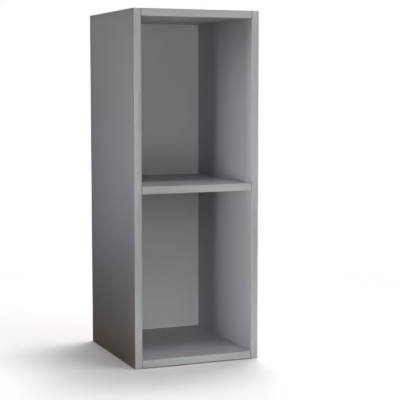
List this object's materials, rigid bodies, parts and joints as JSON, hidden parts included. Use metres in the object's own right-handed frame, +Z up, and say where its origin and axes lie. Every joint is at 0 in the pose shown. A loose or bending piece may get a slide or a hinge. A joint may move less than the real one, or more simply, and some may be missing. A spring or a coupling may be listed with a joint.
{
  "type": "office shelf",
  "caption": "Open office shelf: an upright grey melamine-board carcass with equal open compartments, edged fronts, a nailed hardboard back and hidden cam fittings.",
  "frame": {"origin": "on the floor, under the centre of the overall box", "axes": "+Z up; the open front faces -Y; +X to the right as seen from the front"},
  "size_m": [0.285, 0.31, 0.76],
  "materials": {
    "grey_board": "grey melamine-faced chipboard, matt",
    "grey_edging": "grey plastic edging, satin",
    "hardboard": "hardboard, grey lacquered inside and bare brown outside",
    "zinc": "die-cast zinc",
    "plated_steel": "zinc-plated steel",
    "beech": "bare beech"
  },
  "bodies": {
    "carcass": {"left_side_panel": "grey_board", "left_side_front_edging": "grey_edging", "left_side_top_edging": "grey_edging", "left_side_foot_edging": "grey_edging", "right_side_panel": "grey_board", "right_side_front_edging": "grey_edging", "right_side_top_edging": "grey_edging", "right_side_foot_edging": "grey_edging", "base_panel": "grey_board", "base_panel_front_edging": "grey_edging", "middle_shelf": "grey_board", "middle_shelf_front_edging": "grey_edging", "top_panel": "grey_board", "top_panel_front_edging": "grey_edging", "back_panel": "hardboard", "base_panel_cam_bolt_front_left": "plated_steel", "base_panel_cam_bolt_rear_left": "plated_steel", "base_panel_dowel_left": "beech", "base_panel_cam_bolt_front_right": "plated_steel", "base_panel_cam_bolt_rear_right": "plated_steel", "base_panel_dowel_right": "beech", "middle_shelf_cam_bolt_front_left": "plated_steel", "middle_shelf_cam_bolt_rear_left": "plated_steel", "middle_shelf_dowel_left": "beech", "middle_shelf_cam_bolt_front_right": "plated_steel", "middle_shelf_cam_bolt_rear_right": "plated_steel", "middle_shelf_dowel_right": "beech", "top_panel_cam_bolt_front_left": "plated_steel", "top_panel_cam_bolt_rear_left": "plated_steel", "top_panel_dowel_left": "beech", "top_panel_cam_bolt_front_right": "plated_steel", "top_panel_cam_bolt_rear_right": "plated_steel", "top_panel_dowel_right": "beech", "back_nail_left_1": "plated_steel", "back_nail_left_2": "plated_steel", "back_nail_left_3": "plated_steel", "back_nail_left_4": "plated_steel", "back_nail_right_1": "plated_steel", "back_nail_right_2": "plated_steel", "back_nail_right_3": "plated_steel", "back_nail_right_4": "plated_steel", "back_nail_base_panel_1": "plated_steel", "back_nail_base_panel_2": "plated_steel", "back_nail_middle_shelf_1": "plated_steel", "back_nail_middle_shelf_2": "plated_steel", "back_nail_top_panel_1": "plated_steel", "back_nail_top_panel_2": "plated_steel"},
    "base_panel_cam_front_left": {"base_panel_cam_front_left": "zinc"},
    "base_panel_cam_rear_left": {"base_panel_cam_rear_left": "zinc"},
    "base_panel_cam_front_right": {"base_panel_cam_front_right": "zinc"},
    "base_panel_cam_rear_right": {"base_panel_cam_rear_right": "zinc"},
    "middle_shelf_cam_front_left": {"middle_shelf_cam_front_left": "zinc"},
    "middle_shelf_cam_rear_left": {"middle_shelf_cam_rear_left": "zinc"},
    "middle_shelf_cam_front_right": {"middle_shelf_cam_front_right": "zinc"},
    "middle_shelf_cam_rear_right": {"middle_shelf_cam_rear_right": "zinc"},
    "top_panel_cam_front_left": {"top_panel_cam_front_left": "zinc"},
    "top_panel_cam_rear_left": {"top_panel_cam_rear_left": "zinc"},
    "top_panel_cam_front_right": {"top_panel_cam_front_right": "zinc"},
    "top_panel_cam_rear_right": {"top_panel_cam_rear_right": "zinc"}
  },
  "joints": [
    {"name": "base_panel_cam_front_left_turn", "type": "hinge", "parent": "carcass", "child": "base_panel_cam_front_left", "pos_m": [-0.1022, -0.1, 0.0015], "axis": [0, 0, -1], "range_deg": [0, 180]},
    {"name": "base_panel_cam_rear_left_turn", "type": "hinge", "parent": "carcass", "child": "base_panel_cam_rear_left", "pos_m": [-0.1022, 0.1008, 0.0015], "axis": [0, 0, -1], "range_deg": [0, 180]},
    {"name": "base_panel_cam_front_right_turn", "type": "hinge", "parent": "carcass", "child": "base_panel_cam_front_right", "pos_m": [0.1022, -0.1, 0.0015], "axis": [0, 0, -1], "range_deg": [0, 180]},
    {"name": "base_panel_cam_rear_right_turn", "type": "hinge", "parent": "carcass", "child": "base_panel_cam_rear_right", "pos_m": [0.1022, 0.1008, 0.0015], "axis": [0, 0, -1], "range_deg": [0, 180]},
    {"name": "middle_shelf_cam_front_left_turn", "type": "hinge", "parent": "carcass", "child": "middle_shelf_cam_front_left", "pos_m": [-0.1022, -0.1, 0.37275], "axis": [0, 0, -1], "range_deg": [0, 180]},
    {"name": "middle_shelf_cam_rear_left_turn", "type": "hinge", "parent": "carcass", "child": "middle_shelf_cam_rear_left", "pos_m": [-0.1022, 0.1008, 0.37275], "axis": [0, 0, -1], "range_deg": [0, 180]},
    {"name": "middle_shelf_cam_front_right_turn", "type": "hinge", "parent": "carcass", "child": "middle_shelf_cam_front_right", "pos_m": [0.1022, -0.1, 0.37275], "axis": [0, 0, -1], "range_deg": [0, 180]},
    {"name": "middle_shelf_cam_rear_right_turn", "type": "hinge", "parent": "carcass", "child": "middle_shelf_cam_rear_right", "pos_m": [0.1022, 0.1008, 0.37275], "axis": [0, 0, -1], "range_deg": [0, 180]},
    {"name": "top_panel_cam_front_left_turn", "type": "hinge", "parent": "carcass", "child": "top_panel_cam_front_left", "pos_m": [-0.1022, -0.1, 0.744], "axis": [0, 0, -1], "range_deg": [0, 180]},
    {"name": "top_panel_cam_rear_left_turn", "type": "hinge", "parent": "carcass", "child": "top_panel_cam_rear_left", "pos_m": [-0.1022, 0.1008, 0.744], "axis": [0, 0, -1], "range_deg": [0, 180]},
    {"name": "top_panel_cam_front_right_turn", "type": "hinge", "parent": "carcass", "child": "top_panel_cam_front_right", "pos_m": [0.1022, -0.1, 0.744], "axis": [0, 0, -1], "range_deg": [0, 180]},
    {"name": "top_panel_cam_rear_right_turn", "type": "hinge", "parent": "carcass", "child": "top_panel_cam_rear_right", "pos_m": [0.1022, 0.1008, 0.744], "axis": [0, 0, -1], "range_deg": [0, 180]}
  ]
}
